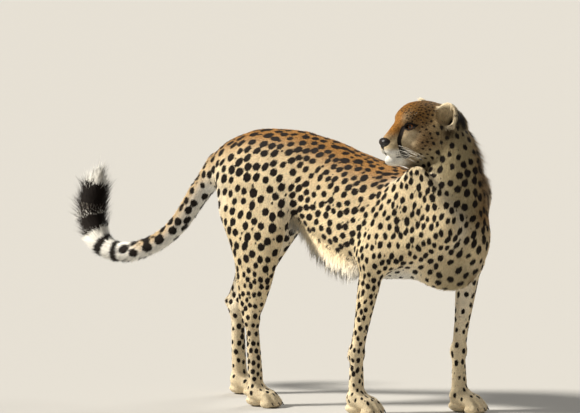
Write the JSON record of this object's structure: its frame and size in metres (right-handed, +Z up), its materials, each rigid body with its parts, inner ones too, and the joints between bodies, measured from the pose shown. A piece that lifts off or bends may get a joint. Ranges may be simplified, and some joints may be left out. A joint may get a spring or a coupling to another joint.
{
  "type": "cheetah",
  "caption": "Life-size standing cheetah, head turned back over its right shoulder, tail curled up at the tip, for display as a still model.",
  "frame": {"origin": "middle of the standing animal's box, on the floor under it", "axes": "+X the way the body faces, +Y the animal's left, +Z up"},
  "size_m": [1.2298, 0.247, 0.8087],
  "materials": {
    "coat": "short dense fur, tawny with black spots, white belly",
    "nose_leather": "moist pebbled skin",
    "eyes": "wet gloss",
    "claws": "satin horn"
  },
  "bodies": {
    "root": {"head": "coat", "neck": "coat", "trunk": "coat", "tail_1": "coat", "tail_2": "coat", "tail_3": "coat", "ear_left": "coat", "ear_right": "coat", "fore_right_leg": "coat", "fore_right_shin": "coat", "fore_right_paw": "coat", "fore_left_leg": "coat", "fore_left_shin": "coat", "fore_left_paw": "coat", "hind_right_leg": "coat", "hind_right_shin": "coat", "hind_right_paw": "coat", "hind_left_leg": "coat", "hind_left_shin": "coat", "hind_left_paw": "coat", "nose": "nose_leather", "eye_left": "eyes", "eye_right": "eyes", "fore_right_claw_1": "claws", "fore_right_claw_2": "claws", "fore_right_claw_3": "claws", "fore_right_claw_4": "claws", "fore_left_claw_1": "claws", "fore_left_claw_2": "claws", "fore_left_claw_3": "claws", "fore_left_claw_4": "claws", "hind_right_claw_1": "claws", "hind_right_claw_2": "claws", "hind_right_claw_3": "claws", "hind_right_claw_4": "claws", "hind_left_claw_1": "claws", "hind_left_claw_2": "claws", "hind_left_claw_3": "claws", "hind_left_claw_4": "claws"}
  },
  "joints": []
}
